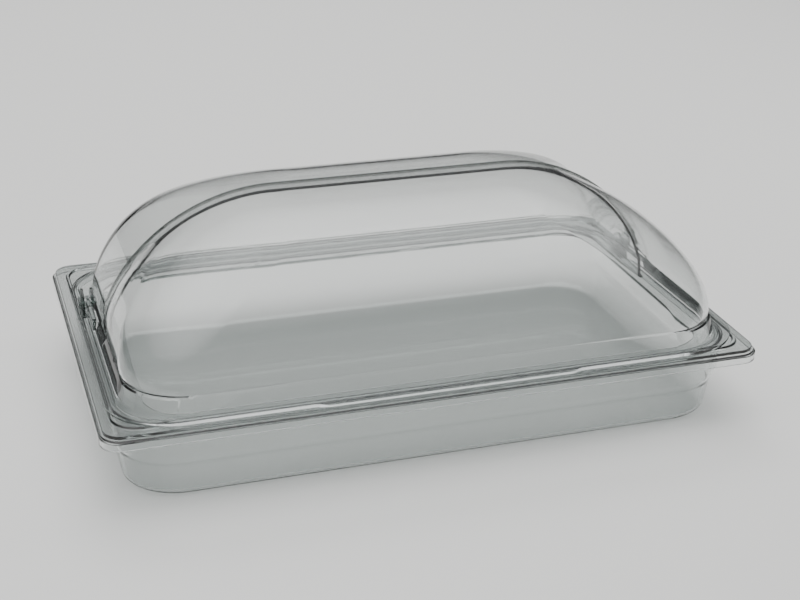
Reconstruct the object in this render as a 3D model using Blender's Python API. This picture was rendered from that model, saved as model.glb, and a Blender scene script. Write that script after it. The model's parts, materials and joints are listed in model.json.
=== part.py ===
"""Full-size gastronorm food pan with a lift-off display cover whose front hood flips back.

Metres, +Z up. The origin is under the middle of the pan's base. The long side runs along X and
the serving side faces -Y. The front hood turns about the X axis through its two hinge pins.
"""
import math

import bmesh
import bpy

MM = 0.001
GAP = 0.3 * MM                    # clearance between pieces that rest on each other

# Pan: a 1/1 gastronorm footprint, 65 mm deep
RIM_HALF_X = 265.0 * MM
RIM_HALF_Y = 162.5 * MM
RIM_RADIUS = 16.0 * MM
PAN_HEIGHT = 65.0 * MM
PAN_WALL = 3.0 * MM
LIP_DROP = 8.0 * MM               # how far the rim's edge turns down
LIP_WALL = 2.5 * MM
MOUTH_INSET = 12.0 * MM           # rim edge to the outside of the wall, under the rim
MOUTH_RADIUS = 45.0 * MM
CORNER_TAPER = 2.0 * MM           # how much tighter the corners get at each stage down
SHOULDER_Z = 33.0 * MM            # stacking shoulder
SHOULDER_STEP = 3.0 * MM
WALL_TAPER = 2.5 * MM             # lost above the shoulder, and about as much again below it
BASE_FILLET = 8.0 * MM
FILLET_STEPS = 4
EDGE_BEVEL = 1.5 * MM             # at the rim's outer and inner top edges
GATE_RADIUS = 7.0 * MM            # round moulding mark in the middle of the pan's floor
GATE_DEPTH = 0.6 * MM

# Cover frame: a flat ring that lies on the pan's rim and drops a locating skirt into its mouth
FRAME_INSET = 3.0 * MM
FRAME_THICK = 2.7 * MM
FRAME_RADIUS = 14.0 * MM
BEAD_INSET = 10.5 * MM            # rim edge to the raised bead
BEAD_WIDTH = 3.0 * MM
BEAD_HEIGHT = 1.2 * MM
BEAD_SLOPE = 0.8 * MM
BEAD_RADIUS = 20.0 * MM
SKIRT_CLEARANCE = 1.0 * MM
SKIRT_WALL = 2.0 * MM
SKIRT_DROP = 6.0 * MM
OPENING_HALF_X = 227.0 * MM
OPENING_FRONT = -138.0 * MM
OPENING_BACK = 116.0 * MM
OPENING_RADIUS = 30.0 * MM

# Hoods
HOOD_WALL = 2.5 * MM
CREASE_Z = 85.0 * MM              # where each dome turns into its upright band
SPLIT_Y = 9.0 * MM                # back edge of the front dome
FRONT_TOP_Z = 184.5 * MM
FRONT_HALF_X = 241.0 * MM
FRONT_END_ARC = 152.0 * MM        # arc of the front dome, seen from the front
FRONT_REACH = 146.3 * MM          # from y = 0 to the crease at the front
FRONT_SIDE_ARC = 136.0 * MM       # arc of the front dome, seen from the end
FRONT_CORNER_RATIO = 0.33         # plan corner radius over depth, at the crease
FRONT_CORNER_POWER = 2            # how late the corners open out on the way up
END_BULGE = 10.5 * MM             # the front dome's ends swell forward of the split edge
BULGE_RUN = 45.0 * MM
BULGE_PEAK = 0.8                  # below 1 puts the swell's widest level under mid-height
REAR_TOP_Z = 181.2 * MM
REAR_HALF_X = 234.8 * MM
REAR_END_ARC = 142.0 * MM
REAR_REACH = 122.5 * MM
REAR_SIDE_ARC = 87.0 * MM
REAR_CORNER_RATIO = 0.26
REAR_CORNER_POWER = 8
REAR_START = 11.0 * MM            # the rear hood's front edge
REAR_BAND_FLARE = 2.5 * MM
REAR_FOOT = 2.0 * MM
REAR_FOOT_THICK = 2.0 * MM
CREASE_STEP = 1.5 * MM
BAND_FLARE = 4.0 * MM             # the front band leans out this much on its way down
FLANGE_THICK = 2.5 * MM
FLANGE_WIDTH_X = 10.5 * MM
FLANGE_WIDTH_Y = 6.4 * MM
FLANGE_RADIUS = 50.0 * MM
FLANGE_END = 37.0 * MM            # the flange stops short of the hinges
GRIP_HALF = 96.0 * MM             # lift grip: the flange is wider here
GRIP_EASE = 11.0 * MM
GRIP_WIDTH = 4.2 * MM
SWEEP_END_Y = -28.0 * MM          # the split edge sweeps forward into the crease
SWEEP_HEIGHT = 12.0 * MM
SWEEP_LEVELS = (0.25, 0.6)        # extra rings within the sweep
END_STEPS = 4                     # columns of each end wall
ARM_COLUMN_Y = 4.0 * MM

# Hinges
PIVOT_X = 245.6 * MM              # middle of the hood's arm
PIVOT_Y = 55.0 * MM
PIVOT_Z = 77.0 * MM
ARM_THICK = 2.9 * MM
ARM_EYE_RADIUS = 6.2 * MM
HUB_LENGTH = 5.0 * MM             # the arm's eye is a barrel between the ears
ARM_START = 8.0 * MM
ARM_TOP = 83.6 * MM
ARM_LIFT = 0.2 * MM               # the arm's underside clears the flange's
ARM_HEEL = 3.0 * MM               # the arm's straight underside ends this short of the flange
PIN_RADIUS = 3.0 * MM
PIN_HEAD_RADIUS = 5.2 * MM
PIN_HEAD_THICK = 2.2 * MM
EAR_THICK = 2.2 * MM
EAR_RADIUS = 8.5 * MM
EAR_RISE = 4.5 * MM               # the ear's round top is centred this far above the pin
EAR_FOOT_HALF = 10.0 * MM
EAR_GAP = HUB_LENGTH + 2.0 * GAP
FOOT_THICK = 1.5 * MM
FOOT_MARGIN = 0.4 * MM
CAP_RADIUS = 4.6 * MM
CAP_THICK = 2.0 * MM

STATION_LIMIT = 0.95              # how far along a ring's straight front its stations may lie
CORNER_STEPS = 7
DOME_STEPS = 14
ROUND_STEPS = 28

RIM_TOP = PAN_HEIGHT
FRAME_BOTTOM = RIM_TOP + GAP
FRAME_TOP = FRAME_BOTTOM + FRAME_THICK
FLANGE_BOTTOM = FRAME_TOP + BEAD_HEIGHT + GAP


def arc(centre, radius, start, stop, steps):
    """Points of an arc in plan, start to stop in degrees, both ends included."""
    angles = [math.radians(start + (stop - start) * k / steps) for k in range(steps + 1)]
    return [(centre[0] + radius * math.cos(a), centre[1] + radius * math.sin(a)) for a in angles]


def rounded_box(half_x, front, back, radius, steps=CORNER_STEPS):
    """Plan outline of a rectangle with round corners, anticlockwise from the back right."""
    corners = ((half_x - radius, back - radius, 0), (radius - half_x, back - radius, 90),
               (radius - half_x, front + radius, 180), (half_x - radius, front + radius, 270))
    outline = []
    for x, y, start in corners:
        outline += arc((x, y), radius, start, start + 90, steps)
    return outline


def rim_ring(inset, radius, z):
    """A ring that follows the rim's outline, a distance inside it."""
    outline = rounded_box(RIM_HALF_X - inset, inset - RIM_HALF_Y, RIM_HALF_Y - inset, radius)
    return [(x, y, z) for x, y in outline]


def new_object(name, mesh_maker, colour, roughness):
    """A named object with a mesh of its own and a clear plastic of its own."""
    mesh = bpy.data.meshes.new(name)
    bm = bmesh.new()
    mesh_maker(bm)
    bmesh.ops.recalc_face_normals(bm, faces=bm.faces)
    bm.to_mesh(mesh)
    bm.free()
    mesh.shade_smooth()
    mesh.set_sharp_from_angle(angle=math.radians(30))
    obj = bpy.data.objects.new(name, mesh)
    bpy.context.scene.collection.objects.link(obj)
    mesh.materials.append(clear_plastic(name, colour, roughness))
    return obj


def clear_plastic(name, colour, roughness):
    material = bpy.data.materials.new(name + "_plastic")
    material.use_nodes = True
    shader = material.node_tree.nodes["Principled BSDF"]
    shader.inputs["Base Color"].default_value = (*colour, 1.0)
    shader.inputs["Roughness"].default_value = roughness
    shader.inputs["Metallic"].default_value = 0.0
    shader.inputs["Transmission Weight"].default_value = 0.9
    shader.inputs["IOR"].default_value = 1.58
    return material


def loft(bm, rings, closed):
    """Skin successive rings; a closed loft joins the last ring to the first, an open one is capped."""
    loops = [[bm.verts.new(point) for point in ring] for ring in rings]
    pairs = list(zip(loops, loops[1:]))
    if closed:
        pairs.append((loops[-1], loops[0]))
    for lower, upper in pairs:
        for k in range(len(lower)):
            n = (k + 1) % len(lower)
            bm.faces.new((lower[k], lower[n], upper[n], upper[k]))
    if not closed:
        bm.faces.new(loops[0][::-1])
        bm.faces.new(loops[-1])


def thick_sheet(bm, outer, inner):
    """A closed shell between two grids of points; a missing point leaves the grid's cell open."""
    rows, columns = len(outer), len(outer[0])
    skins = [[[bm.verts.new(p) if p else None for p in row] for row in grid]
             for grid in (outer, inner)]
    edge_use = {}
    for i in range(rows - 1):
        for j in range(columns - 1):
            cell = ((i, j), (i, j + 1), (i + 1, j + 1), (i + 1, j))
            if any(outer[a][b] is None for a, b in cell):
                continue
            for skin in skins:
                bm.faces.new([skin[a][b] for a, b in cell])
            for start, stop in zip(cell, cell[1:] + cell[:1]):
                key = tuple(sorted((start, stop)))
                edge_use[key] = edge_use.get(key, 0) + 1
    top = [(rows - 1, j) for j in range(columns) if outer[rows - 1][j] is not None]
    for skin in skins:
        bm.faces.new([skin[a][b] for a, b in top])
    for start, stop in zip(top, top[1:] + top[:1]):
        key = tuple(sorted((start, stop)))
        edge_use[key] = edge_use.get(key, 0) + 1
    for (start, stop), count in edge_use.items():
        if count == 1:
            near, far = skins
            bm.faces.new((near[start[0]][start[1]], near[stop[0]][stop[1]],
                          far[stop[0]][stop[1]], far[start[0]][start[1]]))


# ---- food pan ---------------------------------------------------------------------------------

def pan_wall_rings(offset, foot_z):
    """The drafted, shouldered wall from the base up: offset is how far inside the outer face."""
    top = MOUTH_INSET + offset
    shoulder = top + WALL_TAPER
    below = shoulder + SHOULDER_STEP
    foot = below + WALL_TAPER
    fillet = BASE_FILLET - foot_z
    rings = []
    corner = MOUTH_RADIUS - offset
    for k in range(FILLET_STEPS + 1):
        angle = math.radians(90.0 * k / FILLET_STEPS)
        inset = foot + fillet * (1.0 - math.sin(angle))
        rings.append(rim_ring(inset, corner - 2.0 * CORNER_TAPER, BASE_FILLET - fillet * math.cos(angle)))
    rings.append(rim_ring(below, corner - CORNER_TAPER, SHOULDER_Z - SHOULDER_STEP))
    rings.append(rim_ring(shoulder, corner, SHOULDER_Z))
    return rings


def food_pan(bm):
    under_rim = RIM_TOP - PAN_WALL
    lip_bottom = RIM_TOP - LIP_DROP
    outer = pan_wall_rings(0.0, 0.0)
    outer.append(rim_ring(MOUTH_INSET, MOUTH_RADIUS, under_rim))
    outer.append(rim_ring(LIP_WALL, RIM_RADIUS - LIP_WALL, under_rim))
    outer.append(rim_ring(LIP_WALL, RIM_RADIUS - LIP_WALL, lip_bottom))
    outer.append(rim_ring(0.0, RIM_RADIUS, lip_bottom))
    outer.append(rim_ring(0.0, RIM_RADIUS, RIM_TOP - EDGE_BEVEL))
    outer.append(rim_ring(EDGE_BEVEL, RIM_RADIUS, RIM_TOP))
    mouth = MOUTH_INSET + PAN_WALL
    inner = pan_wall_rings(PAN_WALL, PAN_WALL)
    inner.append(rim_ring(mouth, MOUTH_RADIUS - PAN_WALL, RIM_TOP - EDGE_BEVEL))
    inner.append(rim_ring(mouth - EDGE_BEVEL, MOUTH_RADIUS - PAN_WALL, RIM_TOP))
    loft(bm, outer + inner[::-1], closed=False)


def gate_cutter(bm):
    circle = arc((0.0, 0.0), GATE_RADIUS, 0, 360, ROUND_STEPS)[:-1]
    rings = [[(x, y, z) for x, y in circle] for z in (PAN_WALL - GATE_DEPTH, 2.0 * PAN_WALL)]
    loft(bm, rings, closed=False)


# ---- cover frame ------------------------------------------------------------------------------

def cover_frame(bm):
    skirt = MOUTH_INSET + PAN_WALL + SKIRT_CLEARANCE
    skirt_radius = MOUTH_RADIUS - PAN_WALL - SKIRT_CLEARANCE
    bead_top = FRAME_TOP + BEAD_HEIGHT
    rings = [
        rim_ring(FRAME_INSET, FRAME_RADIUS, FRAME_BOTTOM),
        rim_ring(FRAME_INSET, FRAME_RADIUS, FRAME_TOP),
        rim_ring(BEAD_INSET, BEAD_RADIUS, FRAME_TOP),
        rim_ring(BEAD_INSET + BEAD_SLOPE, BEAD_RADIUS, bead_top),
        rim_ring(BEAD_INSET + BEAD_WIDTH - BEAD_SLOPE, BEAD_RADIUS, bead_top),
        rim_ring(BEAD_INSET + BEAD_WIDTH, BEAD_RADIUS, FRAME_TOP),
        opening_ring(FRAME_TOP),
        opening_ring(FRAME_BOTTOM),
        rim_ring(skirt + SKIRT_WALL, skirt_radius - SKIRT_WALL, FRAME_BOTTOM),
        rim_ring(skirt + SKIRT_WALL, skirt_radius - SKIRT_WALL, FRAME_BOTTOM - SKIRT_DROP),
        rim_ring(skirt, skirt_radius, FRAME_BOTTOM - SKIRT_DROP),
        rim_ring(skirt, skirt_radius, FRAME_BOTTOM),
    ]
    loft(bm, rings, closed=True)


def opening_ring(z):
    outline = rounded_box(OPENING_HALF_X, OPENING_FRONT, OPENING_BACK, OPENING_RADIUS)
    return [(x, y, z) for x, y in outline]


# ---- hoods ------------------------------------------------------------------------------------

def dome_levels(top):
    """Heights that space the rings evenly round the dome's arc, with extra ones in the sweep."""
    levels = [CREASE_Z + (top - CREASE_Z) * math.sin(math.radians(90.0 * k / DOME_STEPS))
              for k in range(DOME_STEPS + 1)]
    return sorted(levels + [CREASE_Z + SWEEP_HEIGHT * share for share in SWEEP_LEVELS])


def arc_reach(z, top, radius, flat):
    """Distance out to a dome's skin at height z: a flat crown, then an arc of the given radius."""
    rise = z - (top - radius)
    return flat + math.sqrt(max(radius * radius - rise * rise, 0.0))


def flat_part(reach, top, radius):
    """Half width of the flat crown that puts the skin at the given reach at the crease."""
    rise = CREASE_Z - (top - radius)
    return reach - math.sqrt(radius * radius - rise * rise)


def dome_rings(top, wall, half_x, end_arc, reach, side_arc, ratio, power):
    """Half width, reach in Y, plan corner radius and height of each ring of a dome's skin.

    wall is 0 for the outer skin and the wall thickness for the inner one.
    """
    flat_x = flat_part(half_x, top, end_arc)
    flat_y = flat_part(reach, top, side_arc)
    crown = top - wall
    rings = []
    for z in dome_levels(crown):
        depth = arc_reach(z, crown, side_arc - wall, flat_y)
        share = ratio + (1.0 - ratio) * ((z - CREASE_Z) / (crown - CREASE_Z)) ** power
        rings.append((arc_reach(z, crown, end_arc - wall, flat_x), depth, depth * share, z))
    return rings


def u_outline(half_x, reach, radius, ends, stations):
    """Plan of a hood open at the back: down one end, round the front, and back up the other.

    ends are the Y places where an end wall begins, from the back; stations are X places on the
    front.
    """
    start = ends[-1]
    straight = half_x - radius
    corner_y = radius - reach
    right = [(half_x, y) for y in ends]
    right += [(half_x, start + (corner_y - start) * k / END_STEPS) for k in range(1, END_STEPS)]
    corner = arc((straight, corner_y), radius, 0, -90, CORNER_STEPS)
    squeeze = min([1.0] + [STATION_LIMIT * straight / x for x in stations])
    front = [(x * squeeze, -reach) for x in stations]
    half = right + corner + front
    return half + [(-x, y) for x, y in half[::-1]]


def smooth(share):
    share = min(max(share, 0.0), 1.0)
    return share * share * (3.0 - 2.0 * share)


def swell(x, y, z, half_x, crown):
    """X of a point once the front dome's ends are swollen: nothing at the crease or the crown."""
    rise = min(max((z - CREASE_Z) / (crown - CREASE_Z), 0.0), 1.0)
    level = math.sin(math.pi * rise ** BULGE_PEAK)
    return x * (1.0 + END_BULGE * level * smooth((SPLIT_Y - y) / BULGE_RUN) / half_x)


def split_edge(z):
    """Where the front dome's back edge lies in Y: upright, then sweeping forward to the crease."""
    drop = min(max(1.0 - (z - CREASE_Z) / SWEEP_HEIGHT, 0.0), 1.0)
    return SPLIT_Y - (SPLIT_Y - SWEEP_END_Y) * (1.0 - math.sqrt(1.0 - drop * drop))


def front_grid(inside):
    """Rings of the front hood from the flange's edge to the crown, on its outer or inner skin."""
    wall = HOOD_WALL if inside else 0.0
    flange_z = FLANGE_BOTTOM if inside else FLANGE_BOTTOM + FLANGE_THICK
    band_x = FRONT_HALF_X + CREASE_STEP
    band_y = FRONT_REACH + CREASE_STEP
    corner = FRONT_CORNER_RATIO * FRONT_REACH
    foot = BAND_FLARE - wall
    band = [
        (band_x + BAND_FLARE + FLANGE_WIDTH_X, band_y + BAND_FLARE + FLANGE_WIDTH_Y,
         FLANGE_RADIUS, flange_z),
        (band_x + foot, band_y + foot, corner + foot, flange_z),
        (band_x - wall, band_y - wall, corner - wall, CREASE_Z - CREASE_STEP),
    ]
    dome = dome_rings(FRONT_TOP_Z, wall, FRONT_HALF_X, FRONT_END_ARC, FRONT_REACH,
                      FRONT_SIDE_ARC, FRONT_CORNER_RATIO, FRONT_CORNER_POWER)
    arm_ends = [FLANGE_END, ARM_COLUMN_Y]
    stations = [GRIP_HALF + GRIP_EASE, GRIP_HALF]
    rows = []
    for half_x, reach, radius, z in band + dome:
        outline = u_outline(half_x, reach, radius, arm_ends + [split_edge(z)], stations)
        rows.append([(swell(x, y, z, half_x, FRONT_TOP_Z - wall), y, z) for x, y in outline])
    rows[0] = [(x, y - GRIP_WIDTH, z) if on_grip(x, y) else (x, y, z) for x, y, z in rows[0]]
    for row in rows[len(band):]:
        row[:len(arm_ends)] = [None] * len(arm_ends)
        row[-len(arm_ends):] = [None] * len(arm_ends)
    return rows


def on_grip(x, y):
    return y < 0.0 and abs(x) < GRIP_HALF + 0.5 * GRIP_EASE


def front_hood(bm):
    thick_sheet(bm, front_grid(inside=False), front_grid(inside=True))


def rear_grid(inside):
    """Rings of the fixed rear hood, worked out facing front and then turned to face back."""
    wall = HOOD_WALL if inside else 0.0
    corner = REAR_CORNER_RATIO * REAR_REACH
    foot_z = FRAME_TOP + GAP + (0.0 if inside else REAR_FOOT_THICK)
    flare = REAR_BAND_FLARE - wall
    edge = REAR_BAND_FLARE + REAR_FOOT
    band = [(REAR_HALF_X + edge, REAR_REACH + edge, corner + edge, foot_z),
            (REAR_HALF_X + flare, REAR_REACH + flare, corner + flare, foot_z)]
    dome = dome_rings(REAR_TOP_Z, wall, REAR_HALF_X, REAR_END_ARC, REAR_REACH,
                      REAR_SIDE_ARC, REAR_CORNER_RATIO, REAR_CORNER_POWER)
    return [[(x, -y, z) for x, y in u_outline(half_x, reach, radius, [-REAR_START], [])]
            for half_x, reach, radius, z in band + dome]


def rear_hood(bm):
    thick_sheet(bm, rear_grid(inside=False), rear_grid(inside=True))


# ---- hinges -----------------------------------------------------------------------------------

def extrude_in_x(bm, outline, start, stop):
    """A plate from an outline of (y, z) points."""
    loft(bm, [[(x, y, z) for y, z in outline] for x in (start, stop)], closed=False)


def arm_outline():
    """Side view of an arm: a straight bar whose end is rounded about the pivot."""
    eye = arc((PIVOT_Y, PIVOT_Z), ARM_EYE_RADIUS, -90, 90, ROUND_STEPS // 2)
    low = FLANGE_BOTTOM + ARM_LIFT
    return [(ARM_START, ARM_TOP), (ARM_START, low), (FLANGE_END - ARM_HEEL, low)] + eye


def ear_outline():
    """Side view of a bracket's ear: a tapered post with a round top."""
    low = FRAME_TOP + GAP
    head = arc((PIVOT_Y, PIVOT_Z + EAR_RISE), EAR_RADIUS, 10, 170, ROUND_STEPS // 2)
    return [(PIVOT_Y - EAR_FOOT_HALF, low), (PIVOT_Y + EAR_FOOT_HALF, low)] + head


def foot_outline():
    low = FRAME_TOP + GAP
    reach = EAR_FOOT_HALF + FOOT_MARGIN
    return [(PIVOT_Y - reach, low), (PIVOT_Y + reach, low),
            (PIVOT_Y + reach, low + FOOT_THICK), (PIVOT_Y - reach, low + FOOT_THICK)]


def disc(bm, radius, start, stop):
    outline = arc((PIVOT_Y, PIVOT_Z), radius, 0, 360, ROUND_STEPS)[:-1]
    extrude_in_x(bm, outline, start, stop)


def stepped_pin(bm, side):
    """A headed pin: the head is outside, away from the pan."""
    ear_outside = PIVOT_X + 0.5 * EAR_GAP + EAR_THICK
    shank_end = PIVOT_X - 0.5 * EAR_GAP - EAR_THICK - CAP_THICK
    head_start = ear_outside + GAP
    sections = ((PIN_RADIUS, shank_end), (PIN_RADIUS, head_start), (PIN_HEAD_RADIUS, head_start),
                (PIN_HEAD_RADIUS, head_start + PIN_HEAD_THICK))
    rings = [[(side * x, y, z) for y, z in
              arc((PIVOT_Y, PIVOT_Z), radius, 0, 360, ROUND_STEPS)[:-1]] for radius, x in sections]
    loft(bm, rings, closed=False)


def guide(name, mesh_maker):
    """A helper solid that cuts or joins, and isn't part of the object."""
    obj = new_object(name, mesh_maker, (0.5, 0.5, 0.5), 0.5)
    obj.hide_render = True
    obj.display_type = "WIRE"
    return obj


def combine(obj, other, operation):
    modifier = obj.modifiers.new(other.name, "BOOLEAN")
    modifier.operation = operation
    modifier.solver = "EXACT"
    modifier.object = other


def hinge_bracket(side_name, side):
    """Two ears on a foot; one ear is the object and the rest joins it."""
    inner = PIVOT_X - 0.5 * EAR_GAP
    outer = PIVOT_X + 0.5 * EAR_GAP
    bracket = new_object(
        "hinge_bracket_" + side_name,
        lambda bm: extrude_in_x(bm, ear_outline(), side * outer, side * (outer + EAR_THICK)),
        (0.80, 0.84, 0.85), 0.12)
    second = guide("ear_guide_" + side_name, lambda bm: extrude_in_x(
        bm, ear_outline(), side * inner, side * (inner - EAR_THICK)))
    foot = guide("foot_guide_" + side_name, lambda bm: extrude_in_x(
        bm, foot_outline(), side * (inner - EAR_THICK - FOOT_MARGIN),
        side * (outer + EAR_THICK + FOOT_MARGIN)))
    bore = guide("ear_bore_" + side_name, lambda bm: disc(
        bm, PIN_RADIUS + GAP, side * (inner - 2.0 * EAR_THICK), side * (outer + 2.0 * EAR_THICK)))
    combine(bracket, second, "UNION")
    combine(bracket, foot, "UNION")
    combine(bracket, bore, "DIFFERENCE")


def pin_cap(side_name, side):
    """A ring pressed on the pin's inner end."""
    outside = PIVOT_X - 0.5 * EAR_GAP - EAR_THICK - GAP
    cap = new_object(
        "pin_cap_" + side_name,
        lambda bm: disc(bm, CAP_RADIUS, side * outside, side * (outside - CAP_THICK)),
        (0.72, 0.76, 0.78), 0.15)
    bore = guide("cap_bore_" + side_name, lambda bm: disc(
        bm, PIN_RADIUS + GAP, side * (outside + EAR_THICK), side * (outside - 2.0 * CAP_THICK)))
    combine(cap, bore, "DIFFERENCE")


def build_cover():
    new_object("cover_frame", cover_frame, (0.82, 0.86, 0.87), 0.06)
    new_object("rear_hood", rear_hood, (0.84, 0.88, 0.88), 0.05)
    hood = new_object("front_hood", front_hood, (0.84, 0.88, 0.88), 0.05)
    for side_name, side in (("left", -1.0), ("right", 1.0)):
        near = side * (PIVOT_X - 0.5 * ARM_THICK)
        far = side * (PIVOT_X + 0.5 * ARM_THICK)
        arm = guide("arm_guide_" + side_name,
                    lambda bm: extrude_in_x(bm, arm_outline(), near, far))
        hub = guide("hub_guide_" + side_name, lambda bm: disc(
            bm, ARM_EYE_RADIUS, side * (PIVOT_X - 0.5 * HUB_LENGTH),
            side * (PIVOT_X + 0.5 * HUB_LENGTH)))
        bore = guide("arm_bore_" + side_name, lambda bm: disc(
            bm, PIN_RADIUS + GAP, side * (PIVOT_X - HUB_LENGTH),
            side * (PIVOT_X + HUB_LENGTH)))
        combine(arm, hub, "UNION")
        combine(hood, arm, "UNION")
        combine(hood, bore, "DIFFERENCE")
        hinge_bracket(side_name, side)
        new_object("hinge_pin_" + side_name, lambda bm: stepped_pin(bm, side),
                   (0.74, 0.78, 0.80), 0.10)
        pin_cap(side_name, side)
    move_origin(hood, (0.0, PIVOT_Y, PIVOT_Z))


def move_origin(obj, point):
    """Put an object's origin on its pivot, with its mesh and its guides left where they are."""
    for vertex in obj.data.vertices:
        vertex.co.y -= point[1]
        vertex.co.z -= point[2]
    obj.location = point


def build():
    for obj in list(bpy.data.objects):
        bpy.data.objects.remove(obj, do_unlink=True)
    pan = new_object("food_pan", food_pan, (0.80, 0.83, 0.84), 0.08)
    combine(pan, guide("gate_guide", gate_cutter), "DIFFERENCE")
    build_cover()


build()
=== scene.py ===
"""Looks for a clear food pan with a flip-back display cover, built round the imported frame.

Every piece of the frame is replaced by a finer one of the same design, because facets and hard
edges show in clear plastic. One shape is added: a low rib along the front hood's back edge.
Lengths are in metres.
"""
import json
import math
import bmesh
import bpy
from mathutils import Matrix, Vector


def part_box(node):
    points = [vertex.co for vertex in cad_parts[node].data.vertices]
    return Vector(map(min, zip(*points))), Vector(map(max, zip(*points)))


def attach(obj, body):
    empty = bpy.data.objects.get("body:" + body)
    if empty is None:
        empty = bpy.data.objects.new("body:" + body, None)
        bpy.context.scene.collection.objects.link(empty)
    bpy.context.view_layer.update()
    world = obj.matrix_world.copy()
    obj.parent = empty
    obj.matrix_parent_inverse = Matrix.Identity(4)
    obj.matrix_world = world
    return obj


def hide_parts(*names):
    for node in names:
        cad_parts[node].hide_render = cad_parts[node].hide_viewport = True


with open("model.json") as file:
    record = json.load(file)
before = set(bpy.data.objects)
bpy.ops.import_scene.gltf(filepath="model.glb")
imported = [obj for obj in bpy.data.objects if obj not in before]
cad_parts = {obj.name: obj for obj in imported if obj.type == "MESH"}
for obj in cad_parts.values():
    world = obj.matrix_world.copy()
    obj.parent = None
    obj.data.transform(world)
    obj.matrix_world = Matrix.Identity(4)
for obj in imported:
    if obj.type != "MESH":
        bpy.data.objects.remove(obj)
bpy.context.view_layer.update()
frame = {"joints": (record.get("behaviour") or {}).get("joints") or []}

MM = 0.001
GAP = 0.3 * MM

# ---- sizes, from the frame where it holds them ------------------------------------------------
PAN_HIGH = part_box("food_pan")[1]
FRAME_LOW, FRAME_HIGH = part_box("cover_frame")
REAR_LOW, REAR_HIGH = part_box("rear_hood")
FRONT_LOW, FRONT_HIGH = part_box("front_hood")
HINGE = next(joint for joint in frame["joints"] if joint["name"] == "hood_hinge")

RIM_HALF_X = PAN_HIGH[0]
RIM_HALF_Y = PAN_HIGH[1]
RIM_TOP = PAN_HIGH[2]
RIM_RADIUS = 16.0 * MM
PAN_WALL = 3.0 * MM
LIP_DROP = 8.0 * MM
LIP_WALL = 2.5 * MM
MOUTH_INSET = 12.0 * MM
MOUTH_RADIUS = 45.0 * MM
CORNER_TAPER = 2.0 * MM
SHOULDER_Z = 33.0 * MM
SHOULDER_STEP = 3.0 * MM
SHOULDER_LOW = SHOULDER_Z - 6.5 * MM
SHOULDER_HIGH = SHOULDER_Z + 3.5 * MM
SHOULDER_RINGS = 10
WALL_TAPER = 2.5 * MM
BASE_FILLET = 8.0 * MM
FILLET_STEPS = 12
EDGE_BEVEL = 1.5 * MM
GATE_RADIUS = 7.0 * MM
GATE_DEPTH = 0.6 * MM

BEAD_INSET = 10.5 * MM
BEAD_WIDTH = 3.0 * MM
BEAD_HEIGHT = 1.2 * MM
BEAD_SLOPE = 0.8 * MM
BEAD_RADIUS = 20.0 * MM
FRAME_RADIUS = 14.0 * MM
FRAME_INSET = RIM_HALF_X - FRAME_HIGH[0]
FRAME_BOTTOM = RIM_TOP + GAP
FRAME_TOP = FRAME_HIGH[2] - BEAD_HEIGHT
SKIRT_DROP = FRAME_BOTTOM - FRAME_LOW[2]
SKIRT_WALL = 2.0 * MM
SKIRT_CLEARANCE = 1.0 * MM
OPENING_HALF_X = 227.0 * MM
OPENING_FRONT = -138.0 * MM
OPENING_BACK = 116.0 * MM
OPENING_RADIUS = 30.0 * MM

HOOD_WALL = 2.5 * MM
CREASE_Z = 85.0 * MM
SPLIT_Y = 9.0 * MM
SAME_Y_DIGITS = 6
FRONT_TOP_Z = FRONT_HIGH[2]
FRONT_HALF_X = 241.0 * MM
FRONT_END_ARC = 152.0 * MM
FRONT_REACH = 146.3 * MM
FRONT_SIDE_ARC = 136.0 * MM
FRONT_CORNER_RATIO = 0.33
FRONT_CORNER_POWER = 2
RIB_RISE = 1.3 * MM
RIB_WIDTH = 3.2 * MM
RIB_ROOT = 1.0 * MM
RIB_TIP = 0.6 * MM
RIB_FADE = 4.0
END_BULGE = 10.5 * MM
BULGE_RUN = 45.0 * MM
BULGE_PEAK = 0.8
REAR_TOP_Z = REAR_HIGH[2]
REAR_HALF_X = 234.8 * MM
REAR_END_ARC = 142.0 * MM
REAR_REACH = 122.5 * MM
REAR_SIDE_ARC = 87.0 * MM
REAR_CORNER_RATIO = 0.26
REAR_CORNER_POWER = 8
REAR_START = REAR_LOW[1]
REAR_BAND_FLARE = 2.5 * MM
REAR_FOOT = 2.0 * MM
REAR_FOOT_THICK = 2.0 * MM
CREASE_STEP = 1.5 * MM
BAND_FLARE = 4.0 * MM
FLANGE_BOTTOM = FRONT_LOW[2]
FLANGE_THICK = 2.5 * MM
FLANGE_WIDTH_X = 10.5 * MM
FLANGE_WIDTH_Y = 6.4 * MM
FLANGE_RADIUS = 50.0 * MM
FLANGE_END = 37.0 * MM
GRIP_HALF = 96.0 * MM
GRIP_EASE = 11.0 * MM
GRIP_WIDTH = 4.2 * MM
GRIP_STEPS = 6
SWEEP_END_Y = -28.0 * MM
SWEEP_HEIGHT = 12.0 * MM
SWEEP_LEVELS = tuple(share / 12.0 for share in range(1, 13))
END_STEPS = 12
ARM_COLUMN_Y = 4.0 * MM
STATION_LIMIT = 0.95

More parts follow.
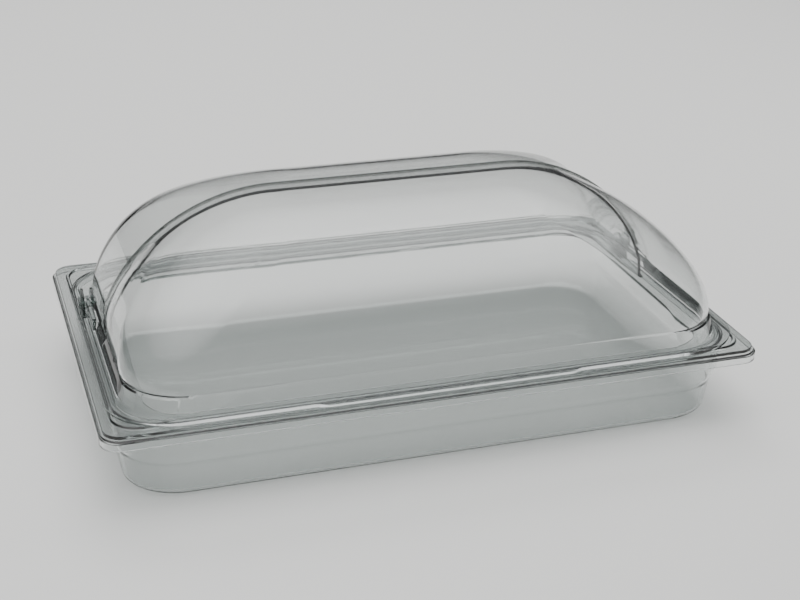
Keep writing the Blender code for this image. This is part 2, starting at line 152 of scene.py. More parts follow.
PIVOT_X = 245.6 * MM
PIVOT_Y, PIVOT_Z = HINGE["pos_m"][1], HINGE["pos_m"][2]
ARM_THICK = 2.9 * MM
ARM_EYE_RADIUS = 6.2 * MM
HUB_LENGTH = 5.0 * MM
ARM_START = 8.0 * MM
ARM_TOP = 83.6 * MM
ARM_LIFT = 0.2 * MM
ARM_HEEL = 3.0 * MM
PIN_RADIUS = 3.0 * MM
PIN_HEAD_RADIUS = 5.2 * MM
PIN_HEAD_THICK = 2.2 * MM
EAR_THICK = 2.2 * MM
EAR_RADIUS = 8.5 * MM
EAR_RISE = 4.5 * MM
EAR_FOOT_HALF = 10.0 * MM
EAR_ARC_START = 10
EAR_ARC_STOP = 170
EAR_GAP = HUB_LENGTH + 2.0 * GAP
FOOT_THICK = 1.5 * MM
FOOT_MARGIN = 0.4 * MM
CAP_RADIUS = 4.6 * MM
CAP_THICK = 2.0 * MM

# ---- resolution -------------------------------------------------------------------------------
CORNER_STEPS = 24
DOME_STEPS = 44
ROUND_STEPS = 48
SIDE_STEPS = 10
SHELL_ROUND = 0.7 * MM
FRAME_ROUND = 0.5 * MM
FRONT_ROUND = 0.5 * MM
BRACKET_ROUND = 0.35 * MM
PIN_ROUND = 0.3 * MM
ROUND_SEGMENTS = 3
ROUND_ANGLE = math.radians(32.0)
SHARP_ANGLE = math.radians(60.0)
FLAT_WEIGHT = 70

# ---- looks of the plastic ---------------------------------------------------------------------
PLASTIC_IOR = 1.58
BODY_COLOUR = (0.52, 0.575, 0.56, 1.0)
SHADOW_TINT = (0.92, 0.925, 0.925, 1.0)
WALL_TINT = (0.960, 0.970, 0.968)
HOOD_TINT = (0.970, 0.978, 0.976)
HINGE_TINT = (0.800, 0.812, 0.806)
# Painted shade: a darker base colour for the front hood's back edge, where the clear plastic only
# looks dark.
PAINTED_EDGE_SHADE = (0.34, 0.35, 0.345, 1.0)
PAINTED_SHADE_BLEND = 0.4 * MM

CLEAN_ROUGHNESS = 0.012
WIPE_SCALE = 14.0
WIPE_DETAIL = 5.0
WIPE_STRETCH = (1.0, 2.6, 1.0)
WIPE_DISTORTION = 0.6
WIPE_LOW, WIPE_HIGH = 0.45, 0.75
WAVE_SCALE = 9.0
WAVE_DETAIL = 1.0
WAVE_DEPTH = 0.6 * MM
HAIR_SCALE = 420.0
HAIR_DETAIL = 3.0
HAIR_STRETCH = (0.06, 1.0, 1.0)
HAIR_LOW, HAIR_HIGH = 0.62, 0.70
HAIR_DEPTH = 0.02 * MM

# ---- floor, sky and lights --------------------------------------------------------------------
FLOOR_SIZE = 60.0
FLOOR_Z = -0.5 * MM
FLOOR_COLOUR = (0.62, 0.62, 0.61, 1.0)
FLOOR_ROUGHNESS = 0.55
SKY_LOW, SKY_LOW_COLOUR = 0.10, (0.070, 0.071, 0.073, 1.0)
SKY_MIDDLE, SKY_MIDDLE_COLOUR = 0.62, (0.34, 0.345, 0.35, 1.0)
SKY_HIGH, SKY_HIGH_COLOUR = 0.92, (3.2, 3.2, 3.2, 1.0)
SKY_STRENGTH = 0.8
LIGHTS_AIM = (0.0, 0.0, 0.09)

# ---- camera -----------------------------------------------------------------------------------
CAMERA_AT = Vector((-0.360, -1.104, 0.606))
CAMERA_YAW = math.radians(18.514)
CAMERA_PITCH = math.radians(24.637)
CAMERA_ROLL = math.radians(1.135)
CAMERA_LENS = 67.9
CAMERA_REACH = 50.0


# ---- outlines ---------------------------------------------------------------------------------

def smooth(share):
    """Ease from 0 to 1, held at both ends."""
    share = min(max(share, 0.0), 1.0)
    return share * share * (3.0 - 2.0 * share)


def arc(centre, radius, start, stop, steps):
    """Points of an arc, start to stop in degrees, both ends included."""
    angles = [math.radians(start + (stop - start) * k / steps) for k in range(steps + 1)]
    return [(centre[0] + radius * math.cos(a), centre[1] + radius * math.sin(a)) for a in angles]


def between(start, stop, steps):
    """The points that cut a straight run into steps, ends left out."""
    return [(start[0] + (stop[0] - start[0]) * k / steps,
             start[1] + (stop[1] - start[1]) * k / steps) for k in range(1, steps)]


def rounded_box(half_x, front, back, radius):
    """Plan outline of a rectangle with round corners, anticlockwise, its sides cut into steps."""
    corners = ((half_x - radius, back - radius, 0), (radius - half_x, back - radius, 90),
               (radius - half_x, front + radius, 180), (half_x - radius, front + radius, 270))
    arcs = [arc((x, y), radius, start, start + 90, CORNER_STEPS) for x, y, start in corners]
    outline = []
    for piece, following in zip(arcs, arcs[1:] + arcs[:1]):
        outline += piece + between(piece[-1], following[0], SIDE_STEPS)
    return outline


def rim_ring(inset, radius, z):
    """The rim's outline at height z, drawn in by inset."""
    outline = rounded_box(RIM_HALF_X - inset, inset - RIM_HALF_Y, RIM_HALF_Y - inset, radius)
    return [(x, y, z) for x, y in outline]


def u_outline(half_x, reach, radius, ends, stations):
    """Plan of a hood open at the back: down one end, round the front, and back up the other.

    ends are the Y places where an end wall begins, from the back; stations are X places on the
    front.
    """
    start = ends[-1]
    straight = half_x - radius
    corner_y = radius - reach
    right = [(half_x, y) for y in ends]
    right += [(half_x, start + (corner_y - start) * k / END_STEPS) for k in range(1, END_STEPS)]
    corner = arc((straight, corner_y), radius, 0, -90, CORNER_STEPS)
    squeeze = min([1.0] + [STATION_LIMIT * straight / x for x in stations])
    front = [(x * squeeze, -reach) for x in stations]
    half = right + corner + front
    return half + [(-x, y) for x, y in half[::-1]]


# ---- meshes -----------------------------------------------------------------------------------

def loft(bm, rings, closed):
    """Skin a row of rings: closed joins the last to the first, otherwise both ends are capped."""
    loops = [[bm.verts.new(point) for point in ring] for ring in rings]
    pairs = list(zip(loops, loops[1:]))
    if closed:
        pairs.append((loops[-1], loops[0]))
    for lower, upper in pairs:
        for k in range(len(lower)):
            n = (k + 1) % len(lower)
            bm.faces.new((lower[k], lower[n], upper[n], upper[k]))
    if not closed:
        bm.faces.new(loops[0][::-1])
        bm.faces.new(loops[-1])


def count_edges(edge_use, loop):
    """Add one to the use of each edge of a loop, so that a sheet's open edges can be found."""
    for start, stop in zip(loop, loop[1:] + loop[:1]):
        key = tuple(sorted((start, stop)))
        edge_use[key] = edge_use.get(key, 0) + 1


def thick_sheet(bm, outer, inner):
    """A closed shell between two grids of points; a missing point leaves the grid's cell open."""
    rows, columns = len(outer), len(outer[0])
    skins = [[[bm.verts.new(p) if p else None for p in row] for row in grid]
             for grid in (outer, inner)]
    edge_use = {}
    for i in range(rows - 1):
        for j in range(columns - 1):
            cell = ((i, j), (i, j + 1), (i + 1, j + 1), (i + 1, j))
            if any(outer[a][b] is None for a, b in cell):
                continue
            for skin in skins:
                bm.faces.new([skin[a][b] for a, b in cell])
            count_edges(edge_use, cell)
    top = tuple((rows - 1, j) for j in range(columns) if outer[rows - 1][j] is not None)
    for skin in skins:
        bm.faces.new([skin[a][b] for a, b in top])
    count_edges(edge_use, top)
    near, far = skins
    for (start, stop), count in edge_use.items():
        if count == 1:
            bm.faces.new((near[start[0]][start[1]], near[stop[0]][stop[1]],
                          far[stop[0]][stop[1]], far[start[0]][start[1]]))


def mesh_object(name, maker):
    """An object whose mesh is what maker adds to an empty one."""
    mesh = bpy.data.meshes.new(name)
    bm = bmesh.new()
    maker(bm)
    bmesh.ops.recalc_face_normals(bm, faces=bm.faces)
    bm.to_mesh(mesh)
    bm.free()
    obj = bpy.data.objects.new(name, mesh)
    bpy.context.scene.collection.objects.link(obj)
    return obj


def settle(obj, helpers=()):
    """Turn an object's modifiers into its mesh and drop the helper solids."""
    graph = bpy.context.evaluated_depsgraph_get()
    mesh = bpy.data.meshes.new_from_object(obj.evaluated_get(graph))
    obj.modifiers.clear()
    obj.data = mesh
    for helper in helpers:
        bpy.data.objects.remove(helper, do_unlink=True)


def combine(obj, other, operation):
    modifier = obj.modifiers.new(other.name, "BOOLEAN")
    modifier.operation = operation
    modifier.solver = "EXACT"
    modifier.object = other


def soften(obj, width):
    """Round the hard edges as a mould does, and keep the flats flat."""
    bevel = obj.modifiers.new("round", "BEVEL")
    bevel.width = width
    bevel.segments = ROUND_SEGMENTS
    bevel.limit_method = "ANGLE"
    bevel.angle_limit = ROUND_ANGLE
    bevel.miter_outer = "MITER_ARC"
    settle(obj)
    obj.data.shade_smooth()
    obj.data.set_sharp_from_angle(angle=SHARP_ANGLE)
    normals = obj.modifiers.new("flats", "WEIGHTED_NORMAL")
    normals.keep_sharp = True
    normals.weight = FLAT_WEIGHT


# ---- clear plastic ----------------------------------------------------------------------------

def clear_plastic(name, tint, smudge, scratch, waviness, density, edge=None):
    """Clear polycarbonate: faint tint, wiping marks in the gloss, hairline scratches, flow waves.

    It lets lamp light through to what is behind it, and darkens with the depth of plastic passed.
    edge is the (y, z) beyond which the base colour turns to a darker painted shade that stands in
    for the dark look of the back edge.
    """
    material = bpy.data.materials.new(name)
    material.use_nodes = True
    nodes, links = material.node_tree.nodes, material.node_tree.links
    shader = nodes["Principled BSDF"]
    output = nodes["Material Output"]
    shader.inputs["Base Color"].default_value = (*tint, 1.0)
    shader.inputs["Transmission Weight"].default_value = 1.0
    shader.inputs["IOR"].default_value = PLASTIC_IOR
    place = nodes.new("ShaderNodeTexCoord")

    def noise(scale, detail, stretch=(1.0, 1.0, 1.0), distortion=0.0):
        mapping = nodes.new("ShaderNodeMapping")
        mapping.inputs["Scale"].default_value = stretch
        texture = nodes.new("ShaderNodeTexNoise")
        texture.inputs["Scale"].default_value = scale
        texture.inputs["Detail"].default_value = detail
        texture.inputs["Distortion"].default_value = distortion
        links.new(place.outputs["Object"], mapping.inputs["Vector"])
        links.new(mapping.outputs["Vector"], texture.inputs["Vector"])
        return texture.outputs["Fac"]

    def ramp(source, low, high, bottom, top):
        stage = nodes.new("ShaderNodeMapRange")
        stage.inputs["From Min"].default_value = low
        stage.inputs["From Max"].default_value = high
        stage.inputs["To Min"].default_value = bottom
        stage.inputs["To Max"].default_value = top
        links.new(source, stage.inputs["Value"])
        return stage.outputs["Result"]

    wiping = noise(WIPE_SCALE, WIPE_DETAIL, WIPE_STRETCH, WIPE_DISTORTION)
    links.new(ramp(wiping, WIPE_LOW, WIPE_HIGH, CLEAN_ROUGHNESS, smudge),
              shader.inputs["Roughness"])

    # Painted shade: behind and above the edge, the base colour blends to the darker edge colour,
    # standing in for the dark look of the back edge.
    if edge is not None:
        axes = nodes.new("ShaderNodeSeparateXYZ")
        links.new(place.outputs["Object"], axes.inputs[0])
        behind = ramp(axes.outputs["Y"], edge[0] - PAINTED_SHADE_BLEND, edge[0], 0.0, 1.0)
        above = ramp(axes.outputs["Z"], edge[1] - PAINTED_SHADE_BLEND, edge[1], 0.0, 1.0)
        both = nodes.new("ShaderNodeMath")
        both.operation = "MULTIPLY"
        links.new(behind, both.inputs[0])
        links.new(above, both.inputs[1])
        shade = nodes.new("ShaderNodeMix")
        shade.data_type = "RGBA"
        shade.inputs["A"].default_value = (*tint, 1.0)
        shade.inputs["B"].default_value = PAINTED_EDGE_SHADE
        links.new(both.outputs[0], shade.inputs["Factor"])
        links.new(shade.outputs["Result"], shader.inputs["Base Color"])

    wave = nodes.new("ShaderNodeBump")
    wave.inputs["Strength"].default_value = waviness
    wave.inputs["Distance"].default_value = WAVE_DEPTH
    links.new(noise(WAVE_SCALE, WAVE_DETAIL), wave.inputs["Height"])
    hair = nodes.new("ShaderNodeBump")
    hair.inputs["Strength"].default_value = scratch
    hair.inputs["Distance"].default_value = HAIR_DEPTH
    hairlines = noise(HAIR_SCALE, HAIR_DETAIL, HAIR_STRETCH)
    links.new(ramp(hairlines, HAIR_LOW, HAIR_HIGH, 0.0, 1.0), hair.inputs["Height"])
    links.new(wave.outputs["Normal"], hair.inputs["Normal"])
    links.new(hair.outputs["Normal"], shader.inputs["Normal"])

    through = nodes.new("ShaderNodeBsdfTransparent")
    through.inputs["Color"].default_value = SHADOW_TINT
    path = nodes.new("ShaderNodeLightPath")
    mix = nodes.new("ShaderNodeMixShader")
    links.new(path.outputs["Is Shadow Ray"], mix.inputs["Fac"])
    links.new(shader.outputs["BSDF"], mix.inputs[1])
    links.new(through.outputs["BSDF"], mix.inputs[2])
    links.new(mix.outputs["Shader"], output.inputs["Surface"])

    body = nodes.new("ShaderNodeVolumeAbsorption")
    body.inputs["Color"].default_value = BODY_COLOUR
    body.inputs["Density"].default_value = density
    links.new(body.outputs["Volume"], output.inputs["Volume"])
    return material


HOOD_WEAR = {"smudge": 0.035, "scratch": 0.15, "waviness": 0.08, "density": 38.0}
PAN_PLASTIC = clear_plastic("pan_clear", WALL_TINT,
                            smudge=0.06, scratch=0.25, waviness=0.10, density=60.0)
FRAME_PLASTIC = clear_plastic("frame_clear", WALL_TINT,
                              smudge=0.05, scratch=0.20, waviness=0.06, density=75.0)
HOOD_PLASTIC = clear_plastic("hood_clear", HOOD_TINT, **HOOD_WEAR)
# The front hood's plastic, with painted shade along its back edge.
FLIP_PLASTIC = clear_plastic("hood_flip_clear", HOOD_TINT, **HOOD_WEAR,
                             edge=(SPLIT_Y - RIB_WIDTH, CREASE_Z + SWEEP_HEIGHT))
HINGE_PLASTIC = clear_plastic("hinge_clear", HINGE_TINT,
                              smudge=0.10, scratch=0.30, waviness=0.05, density=240.0)


def place_piece(obj, plastic, body, node):
    obj.data.materials.clear()
    obj.data.materials.append(plastic)
    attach(obj, body)
    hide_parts(node)


# ---- pan --------------------------------------------------------------------------------------

def pan_wall_rings(offset, foot_z):
    """The drafted, shouldered wall from the base up: offset is how far inside the outer face."""
    top = MOUTH_INSET + offset
    shoulder = top + WALL_TAPER
    below = shoulder + SHOULDER_STEP
    foot = below + WALL_TAPER
    fillet = BASE_FILLET - foot_z
    rings = []
    corner = MOUTH_RADIUS - offset
    for k in range(FILLET_STEPS + 1):
        angle = math.radians(90.0 * k / FILLET_STEPS)
        inset = foot + fillet * (1.0 - math.sin(angle))
        rings.append(rim_ring(inset, corner - 2.0 * CORNER_TAPER,
                              BASE_FILLET - fillet * math.cos(angle)))
    for k in range(SHOULDER_RINGS + 1):
        share = k / SHOULDER_RINGS
        eased = smooth(share)
        rings.append(rim_ring(below + (shoulder - below) * eased,
                              corner - CORNER_TAPER * (1.0 - eased),
                              SHOULDER_LOW + (SHOULDER_HIGH - SHOULDER_LOW) * share))
    return rings


def pan_mesh(bm):
    under_rim = RIM_TOP - PAN_WALL
    lip_bottom = RIM_TOP - LIP_DROP
    outer = pan_wall_rings(0.0, 0.0)
    outer.append(rim_ring(MOUTH_INSET, MOUTH_RADIUS, under_rim))
    outer.append(rim_ring(LIP_WALL, RIM_RADIUS - LIP_WALL, under_rim))
    outer.append(rim_ring(LIP_WALL, RIM_RADIUS - LIP_WALL, lip_bottom))
    outer.append(rim_ring(0.0, RIM_RADIUS, lip_bottom))
    outer.append(rim_ring(0.0, RIM_RADIUS, RIM_TOP - EDGE_BEVEL))
    outer.append(rim_ring(EDGE_BEVEL, RIM_RADIUS, RIM_TOP))
    mouth = MOUTH_INSET + PAN_WALL
    inner = pan_wall_rings(PAN_WALL, PAN_WALL)
    inner.append(rim_ring(mouth, MOUTH_RADIUS - PAN_WALL, RIM_TOP - EDGE_BEVEL))
    inner.append(rim_ring(mouth - EDGE_BEVEL, MOUTH_RADIUS - PAN_WALL, RIM_TOP))
    loft(bm, outer + inner[::-1], closed=False)


def gate_cutter(bm):
    """The shallow round gate mark in the middle of the pan's floor."""
    circle = arc((0.0, 0.0), GATE_RADIUS, 0, 360, ROUND_STEPS)[:-1]
    rings = [[(x, y, z) for x, y in circle] for z in (PAN_WALL - GATE_DEPTH, 2.0 * PAN_WALL)]
    loft(bm, rings, closed=False)


def build_pan():
    pan = mesh_object("pan_shell", pan_mesh)
    gate = mesh_object("gate", gate_cutter)
    combine(pan, gate, "DIFFERENCE")
    settle(pan, [gate])
    soften(pan, SHELL_ROUND)
    place_piece(pan, PAN_PLASTIC, "pan", "food_pan")


# ---- cover frame ------------------------------------------------------------------------------

def opening_ring(z):
    outline = rounded_box(OPENING_HALF_X, OPENING_FRONT, OPENING_BACK, OPENING_RADIUS)
    return [(x, y, z) for x, y in outline]


def frame_mesh(bm):
    skirt = MOUTH_INSET + PAN_WALL + SKIRT_CLEARANCE
    skirt_radius = MOUTH_RADIUS - PAN_WALL - SKIRT_CLEARANCE
    bead_top = FRAME_TOP + BEAD_HEIGHT
    loft(bm, [
        rim_ring(FRAME_INSET, FRAME_RADIUS, FRAME_BOTTOM),
        rim_ring(FRAME_INSET, FRAME_RADIUS, FRAME_TOP),
        rim_ring(BEAD_INSET, BEAD_RADIUS, FRAME_TOP),
        rim_ring(BEAD_INSET + BEAD_SLOPE, BEAD_RADIUS, bead_top),
        rim_ring(BEAD_INSET + BEAD_WIDTH - BEAD_SLOPE, BEAD_RADIUS, bead_top),
        rim_ring(BEAD_INSET + BEAD_WIDTH, BEAD_RADIUS, FRAME_TOP),
        opening_ring(FRAME_TOP),
        opening_ring(FRAME_BOTTOM),
        rim_ring(skirt + SKIRT_WALL, skirt_radius - SKIRT_WALL, FRAME_BOTTOM),
        rim_ring(skirt + SKIRT_WALL, skirt_radius - SKIRT_WALL, FRAME_BOTTOM - SKIRT_DROP),
        rim_ring(skirt, skirt_radius, FRAME_BOTTOM - SKIRT_DROP),
        rim_ring(skirt, skirt_radius, FRAME_BOTTOM),
    ], closed=True)


def build_frame():
    ring = mesh_object("frame_ring", frame_mesh)
    soften(ring, FRAME_ROUND)
    place_piece(ring, FRAME_PLASTIC, "cover", "cover_frame")


# ---- hoods ------------------------------------------------------------------------------------

def dome_levels(top):
    """Heights that space the rings evenly round the dome's arc, with extra ones in the sweep."""
    levels = [CREASE_Z + (top - CREASE_Z) * math.sin(math.radians(90.0 * k / DOME_STEPS))
              for k in range(DOME_STEPS + 1)]
    return sorted(levels + [CREASE_Z + SWEEP_HEIGHT * share for share in SWEEP_LEVELS])


def arc_reach(z, top, radius, flat):
    """Distance out to a dome's skin at height z: a flat crown, then an arc of the given radius."""
    rise = z - (top - radius)
    return flat + math.sqrt(max(radius * radius - rise * rise, 0.0))


def flat_part(reach, top, radius):
    """Half width of the flat crown that puts the skin at the given reach at the crease."""
    rise = CREASE_Z - (top - radius)
    return reach - math.sqrt(radius * radius - rise * rise)


def dome_rings(top, wall, half_x, end_arc, reach, side_arc, ratio, power):
    """Half width, reach in Y, plan corner radius and height of each ring of a dome's skin.

    wall is 0 for the outer skin and the wall thickness for the inner one.
    """
    flat_x = flat_part(half_x, top, end_arc)
    flat_y = flat_part(reach, top, side_arc)
    crown = top - wall
    rings = []
    for z in dome_levels(crown):
        depth = arc_reach(z, crown, side_arc - wall, flat_y)
        share = ratio + (1.0 - ratio) * ((z - CREASE_Z) / (crown - CREASE_Z)) ** power
        rings.append((arc_reach(z, crown, end_arc - wall, flat_x), depth, depth * share, z))
    return rings


def swell(x, y, z, half_x, crown):
    """X of a point once the front dome's ends are swollen: nothing at the crease or the crown."""
    rise = min(max((z - CREASE_Z) / (crown - CREASE_Z), 0.0), 1.0)
    level = math.sin(math.pi * rise ** BULGE_PEAK)
    return x * (1.0 + END_BULGE * level * smooth((SPLIT_Y - y) / BULGE_RUN) / half_x)


def split_edge(z):
    """Where the front dome's back edge lies in Y: upright, then sweeping forward to the crease."""
    drop = min(max(1.0 - (z - CREASE_Z) / SWEEP_HEIGHT, 0.0), 1.0)
    return SPLIT_Y - (SPLIT_Y - SWEEP_END_Y) * (1.0 - math.sqrt(1.0 - drop * drop))


def front_grid(inside):
    """Rings of the front hood from the flange's edge to the crown, on its outer or inner skin."""
    wall = HOOD_WALL if inside else 0.0
    flange_z = FLANGE_BOTTOM if inside else FLANGE_BOTTOM + FLANGE_THICK
    band_x = FRONT_HALF_X + CREASE_STEP
    band_y = FRONT_REACH + CREASE_STEP
    corner = FRONT_CORNER_RATIO * FRONT_REACH
    foot = BAND_FLARE - wall
    band = [
        (band_x + BAND_FLARE + FLANGE_WIDTH_X, band_y + BAND_FLARE + FLANGE_WIDTH_Y,
         FLANGE_RADIUS, flange_z),
        (band_x + foot, band_y + foot, corner + foot, flange_z),
        (band_x - wall, band_y - wall, corner - wall, CREASE_Z - CREASE_STEP),
    ]
    dome = dome_rings(FRONT_TOP_Z, wall, FRONT_HALF_X, FRONT_END_ARC, FRONT_REACH,
                      FRONT_SIDE_ARC, FRONT_CORNER_RATIO, FRONT_CORNER_POWER)
    arm_ends = [FLANGE_END, ARM_COLUMN_Y]
    stations = [GRIP_HALF + GRIP_EASE - GRIP_EASE * k / GRIP_STEPS for k in range(GRIP_STEPS + 1)]
    rows = []
    for half_x, reach, radius, z in band + dome:
        outline = u_outline(half_x, reach, radius, arm_ends + [split_edge(z)], stations)
        rows.append([(swell(x, y, z, half_x, FRONT_TOP_Z - wall), y, z) for x, y in outline])
    rows[0] = [(x, y - grip_reach(x, y), z) for x, y, z in rows[0]]
    for row in rows[len(band):]:
        row[:len(arm_ends)] = [None] * len(arm_ends)
        row[-len(arm_ends):] = [None] * len(arm_ends)
    return rows


def grip_reach(x, y):
    """How much wider the flange is at a place along the front: a soft step out to the grip."""
    if y > -FRONT_REACH:
        return 0.0
    return GRIP_WIDTH * smooth((GRIP_HALF + GRIP_EASE - abs(x)) / GRIP_EASE)


def rear_grid(inside):
    """Rings of the fixed rear hood, worked out facing front and then turned to face back."""
    wall = HOOD_WALL if inside else 0.0
    corner = REAR_CORNER_RATIO * REAR_REACH
    foot_z = REAR_LOW[2] + (0.0 if inside else REAR_FOOT_THICK)
    flare = REAR_BAND_FLARE - wall
    edge = REAR_BAND_FLARE + REAR_FOOT
    band = [(REAR_HALF_X + edge, REAR_REACH + edge, corner + edge, foot_z),
            (REAR_HALF_X + flare, REAR_REACH + flare, corner + flare, foot_z)]
    dome = dome_rings(REAR_TOP_Z, wall, REAR_HALF_X, REAR_END_ARC, REAR_REACH,
                      REAR_SIDE_ARC, REAR_CORNER_RATIO, REAR_CORNER_POWER)
    return [[(x, -y, z) for x, y in u_outline(half_x, reach, radius, [-REAR_START], [])]
            for half_x, reach, radius, z in band + dome]


def split_path():
    """The front dome's upright back edge, from the left sweep over the top to the right one."""
    sides = []
    for side in (-1.0, 1.0):
        edge = []
        for ring in front_grid(False):
            points = [point for point in ring if point is not None and side * point[0] > 0.0]
            edge.append(max(points, key=lambda point: (round(point[1], SAME_Y_DIGITS),
                                                       side * point[0])))
        sides.append([point for point in edge if point[2] > CREASE_Z + SWEEP_HEIGHT])
    return sides[0] + sides[1][::-1]


def rib_mesh(bm):
    """A stiffening rib along the outside of the front dome's back edge."""
    path = split_path()
    rings = []
    for k, (x, y, z) in enumerate(path):
        before, after = path[max(k - 1, 0)], path[min(k + 1, len(path) - 1)]
        along = Vector((after[0] - before[0], 0.0, after[2] - before[2])).normalized()
        out_x, out_z = -along.z, along.x
        ends = min(k, len(path) - 1 - k) / RIB_FADE
        rise = RIB_RISE * min(ends, 1.0) + RIB_TIP * (1.0 - min(ends, 1.0))
        rings.append([(x + out_x * height, y - back, z + out_z * height)
                      for height, back in ((-RIB_ROOT, 0.0), (rise, RIB_TIP),
                                           (rise, RIB_WIDTH - RIB_TIP), (-RIB_ROOT, RIB_WIDTH))])
    loft(bm, rings, closed=False)


def plate(bm, outline, start, stop):
    """A plate across X from an outline of (y, z) points."""
    loft(bm, [[(x, y, z) for y, z in outline] for x in (start, stop)], closed=False)


def disc(bm, radius, start, stop):
    """A round plate across X on the hinge axis."""
    plate(bm, arc((PIVOT_Y, PIVOT_Z), radius, 0, 360, ROUND_STEPS)[:-1], start, stop)


def arm_outline():
    eye = arc((PIVOT_Y, PIVOT_Z), ARM_EYE_RADIUS, -90, 90, ROUND_STEPS // 2)
    low = FLANGE_BOTTOM + ARM_LIFT
    return [(ARM_START, ARM_TOP), (ARM_START, low), (FLANGE_END - ARM_HEEL, low)] + eye


def build_hoods():
    rear = mesh_object("rear_dome", lambda bm: thick_sheet(bm, rear_grid(False), rear_grid(True)))
    soften(rear, SHELL_ROUND)
    place_piece(rear, HOOD_PLASTIC, "cover", "rear_hood")

    front = mesh_object("front_dome",
                        lambda bm: thick_sheet(bm, front_grid(False), front_grid(True)))
    rib = mesh_object("rib", rib_mesh)
    combine(front, rib, "UNION")
    helpers = [rib]
    for side in (-1.0, 1.0):
        arm = mesh_object("arm", lambda bm: plate(
            bm, arm_outline(), side * (PIVOT_X - 0.5 * ARM_THICK),
            side * (PIVOT_X + 0.5 * ARM_THICK)))
        hub = mesh_object("hub", lambda bm: disc(
            bm, ARM_EYE_RADIUS, side * (PIVOT_X - 0.5 * HUB_LENGTH),
            side * (PIVOT_X + 0.5 * HUB_LENGTH)))
        bore = mesh_object("bore", lambda bm: disc(
            bm, PIN_RADIUS + GAP, side * (PIVOT_X - HUB_LENGTH), side * (PIVOT_X + HUB_LENGTH)))
        combine(arm, hub, "UNION")
        combine(front, arm, "UNION")
        combine(front, bore, "DIFFERENCE")
        helpers += [arm, hub, bore]
    settle(front, helpers)
    soften(front, FRONT_ROUND)
    place_piece(front, FLIP_PLASTIC, "hood", "front_hood")


# ---- hinges -----------------------------------------------------------------------------------

def ear_outline():
    low = FRAME_TOP + GAP
    head = arc((PIVOT_Y, PIVOT_Z + EAR_RISE), EAR_RADIUS, EAR_ARC_START, EAR_ARC_STOP,
               ROUND_STEPS // 2)
    return [(PIVOT_Y - EAR_FOOT_HALF, low), (PIVOT_Y + EAR_FOOT_HALF, low)] + head


def foot_outline():
    low = FRAME_TOP + GAP
    reach = EAR_FOOT_HALF + FOOT_MARGIN
    return [(PIVOT_Y - reach, low), (PIVOT_Y + reach, low),
            (PIVOT_Y + reach, low + FOOT_THICK), (PIVOT_Y - reach, low + FOOT_THICK)]


def pin_mesh(bm, side):
    ear_outside = PIVOT_X + 0.5 * EAR_GAP + EAR_THICK
    shank_end = PIVOT_X - 0.5 * EAR_GAP - EAR_THICK - CAP_THICK
    head_start = ear_outside + GAP
    sections = ((PIN_RADIUS, shank_end), (PIN_RADIUS, head_start), (PIN_HEAD_RADIUS, head_start),
                (PIN_HEAD_RADIUS, head_start + PIN_HEAD_THICK))
    rings = [[(side * x, y, z) for y, z in
              arc((PIVOT_Y, PIVOT_Z), radius, 0, 360, ROUND_STEPS)[:-1]] for radius, x in sections]
    loft(bm, rings, closed=False)


def build_hinge(side_name, side):
    inner = PIVOT_X - 0.5 * EAR_GAP
    outer = PIVOT_X + 0.5 * EAR_GAP
    bracket = mesh_object("bracket_" + side_name, lambda bm: plate(
        bm, ear_outline(), side * outer, side * (outer + EAR_THICK)))
    second = mesh_object("ear", lambda bm: plate(
        bm, ear_outline(), side * inner, side * (inner - EAR_THICK)))
    foot = mesh_object("foot", lambda bm: plate(
        bm, foot_outline(), side * (inner - EAR_THICK - FOOT_MARGIN),
        side * (outer + EAR_THICK + FOOT_MARGIN)))
    bore = mesh_object("bore", lambda bm: disc(
        bm, PIN_RADIUS + GAP, side * (inner - 2.0 * EAR_THICK), side * (outer + 2.0 * EAR_THICK)))
    combine(bracket, second, "UNION")
    combine(bracket, foot, "UNION")
    combine(bracket, bore, "DIFFERENCE")
    settle(bracket, [second, foot, bore])
    soften(bracket, BRACKET_ROUND)
    place_piece(bracket, HINGE_PLASTIC, "cover", "hinge_bracket_" + side_name)

    pin = mesh_object("pin_" + side_name, lambda bm: pin_mesh(bm, side))
    soften(pin, PIN_ROUND)
    place_piece(pin, HINGE_PLASTIC, "cover", "hinge_pin_" + side_name)

    outside = inner - EAR_THICK - GAP
    cap = mesh_object("cap_" + side_name, lambda bm: disc(
        bm, CAP_RADIUS, side * outside, side * (outside - CAP_THICK)))
    hole = mesh_object("bore", lambda bm: disc(
        bm, PIN_RADIUS + GAP, side * (outside + EAR_THICK), side * (outside - 2.0 * CAP_THICK)))
    combine(cap, hole, "DIFFERENCE")
    settle(cap, [hole])
    soften(cap, PIN_ROUND)
    place_piece(cap, HINGE_PLASTIC, "cover", "pin_cap_" + side_name)


# ---- stage ------------------------------------------------------------------------------------

def build_floor():
    bpy.ops.mesh.primitive_plane_add(size=FLOOR_SIZE, location=(0.0, 0.0, FLOOR_Z))
    floor = bpy.context.object
    floor.name = "stage_floor"
    material = bpy.data.materials.new("floor_pale")
    material.use_nodes = True
    shader = material.node_tree.nodes["Principled BSDF"]
    shader.inputs["Base Color"].default_value = FLOOR_COLOUR
    shader.inputs["Roughness"].default_value = FLOOR_ROUGHNESS
    floor.data.materials.append(material)


def area_light(name, at, width, height, power):
    """A softbox that lights the scene without showing as a hard patch in or through the plastic."""
    data = bpy.data.lights.new(name, "AREA")
    data.shape = "RECTANGLE"
    data.size = width
    data.size_y = height
    data.energy = power
    light = bpy.data.objects.new(name, data)
    light.location = at
    aim = Vector(LIGHTS_AIM) - Vector(at)
    light.rotation_euler = aim.to_track_quat("-Z", "Y").to_euler()
    light.visible_glossy = False
    light.visible_transmission = False
    bpy.context.scene.collection.objects.link(light)


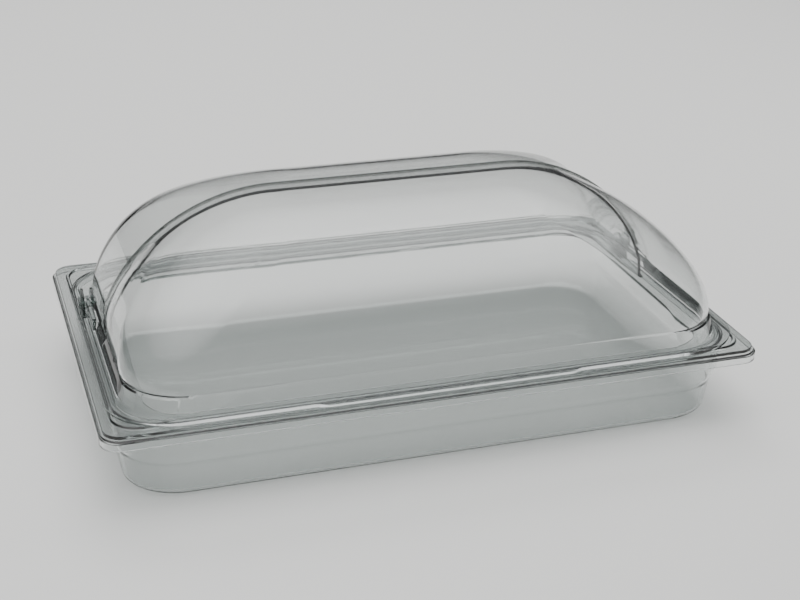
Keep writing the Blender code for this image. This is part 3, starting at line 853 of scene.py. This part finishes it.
def build_world():
    """A studio sky: dim round the horizon, so that clear edges show dark, and bright overhead."""
    world = bpy.data.worlds.new("studio")
    bpy.context.scene.world = world
    world.use_nodes = True
    nodes, links = world.node_tree.nodes, world.node_tree.links
    place = nodes.new("ShaderNodeTexCoord")
    split = nodes.new("ShaderNodeSeparateXYZ")
    ramp = nodes.new("ShaderNodeValToRGB")
    ramp.color_ramp.elements[0].position = SKY_LOW
    ramp.color_ramp.elements[0].color = SKY_LOW_COLOUR
    ramp.color_ramp.elements[1].position = SKY_HIGH
    ramp.color_ramp.elements[1].color = SKY_HIGH_COLOUR
    middle = ramp.color_ramp.elements.new(SKY_MIDDLE)
    middle.color = SKY_MIDDLE_COLOUR
    links.new(place.outputs["Generated"], split.inputs[0])
    links.new(split.outputs["Z"], ramp.inputs["Fac"])
    links.new(ramp.outputs["Color"], nodes["Background"].inputs["Color"])
    nodes["Background"].inputs["Strength"].default_value = SKY_STRENGTH


def build_lights():
    area_light("back_softbox", (0.25, 1.60, 1.90), width=1.2, height=0.8, power=26.0)
    area_light("top_softbox", (-0.30, -0.40, 2.10), width=0.9, height=0.6, power=14.0)
    area_light("left_strip", (-1.60, -0.30, 0.75), width=0.3, height=1.0, power=7.0)
    area_light("right_strip", (1.60, 0.05, 0.70), width=0.3, height=0.9, power=6.0)


def build_camera():
    forward = Vector((math.sin(CAMERA_YAW) * math.cos(CAMERA_PITCH),
                      math.cos(CAMERA_YAW) * math.cos(CAMERA_PITCH), -math.sin(CAMERA_PITCH)))
    level = Vector((math.cos(CAMERA_YAW), -math.sin(CAMERA_YAW), 0.0))
    upright = level.cross(forward)
    right = level * math.cos(CAMERA_ROLL) + upright * math.sin(CAMERA_ROLL)
    up = right.cross(forward)
    data = bpy.data.cameras.new("camera")
    data.lens = CAMERA_LENS
    data.clip_end = CAMERA_REACH
    camera = bpy.data.objects.new("camera", data)
    camera.matrix_world = Matrix((right, up, -forward)).transposed().to_4x4()
    camera.location = CAMERA_AT
    bpy.context.scene.collection.objects.link(camera)
    bpy.context.scene.camera = camera


build_camera()
build_world()
build_lights()
build_floor()
build_pan()
build_frame()
build_hoods()
build_hinge("left", -1.0)
build_hinge("right", 1.0)
